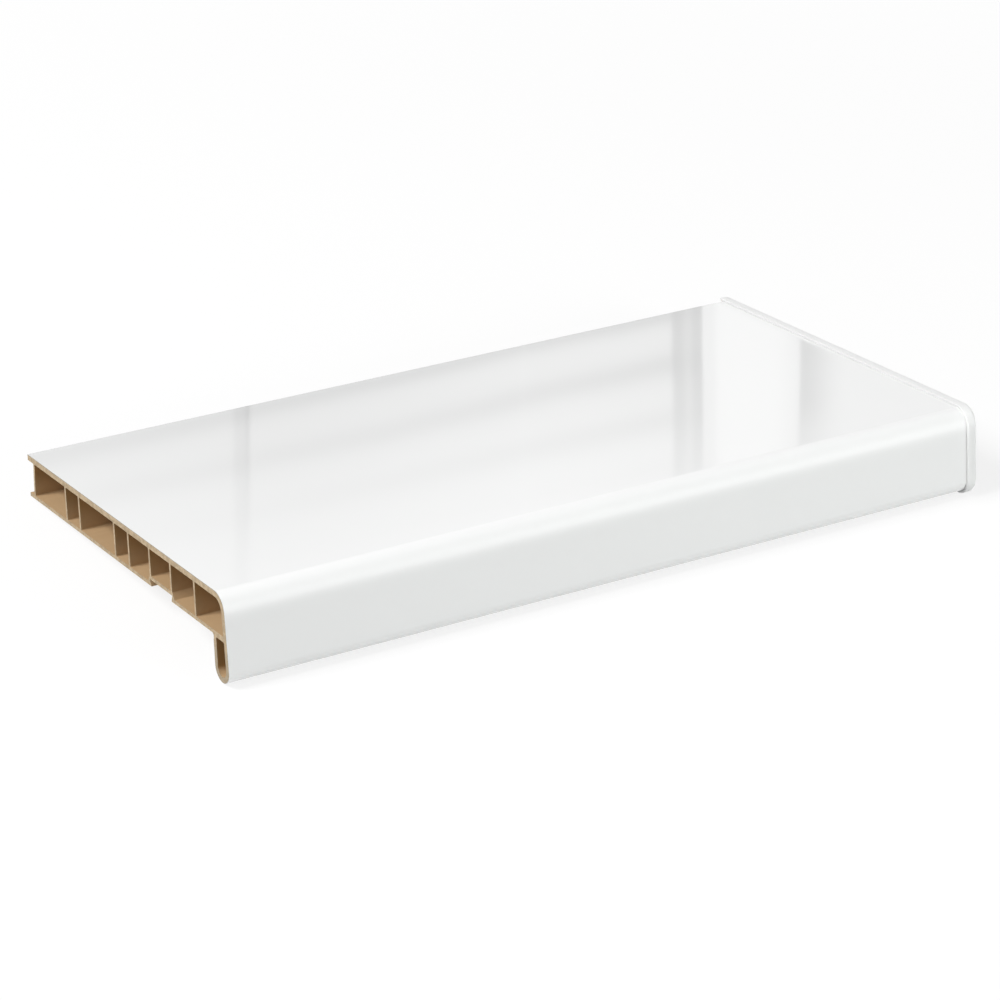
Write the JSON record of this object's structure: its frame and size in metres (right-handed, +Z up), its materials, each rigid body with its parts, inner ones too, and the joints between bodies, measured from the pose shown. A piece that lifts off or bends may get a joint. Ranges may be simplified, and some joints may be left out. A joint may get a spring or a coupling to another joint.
{
  "type": "window sill board",
  "caption": "Short length of hollow wood-plastic window sill board with a rounded drop nose, white film face and a push-on end cap.",
  "frame": {"origin": "on the floor under the middle of the board's box", "axes": "+X along the board from its sawn open end to its capped end, +Y from the nose to the back edge, +Z up; the board leans back as it rests, so its top face falls about 6 degrees to the back"},
  "size_m": [0.3894, 0.2056, 0.0427],
  "materials": {
    "wood_plastic": "tan wood-filled plastic, sawn at the open end",
    "white_film": "white gloss film",
    "cap_plastic": "white satin moulding"
  },
  "bodies": {
    "root": {"hollow_profile": "wood_plastic", "cover_film": "white_film", "end_cap": "cap_plastic"}
  },
  "joints": []
}
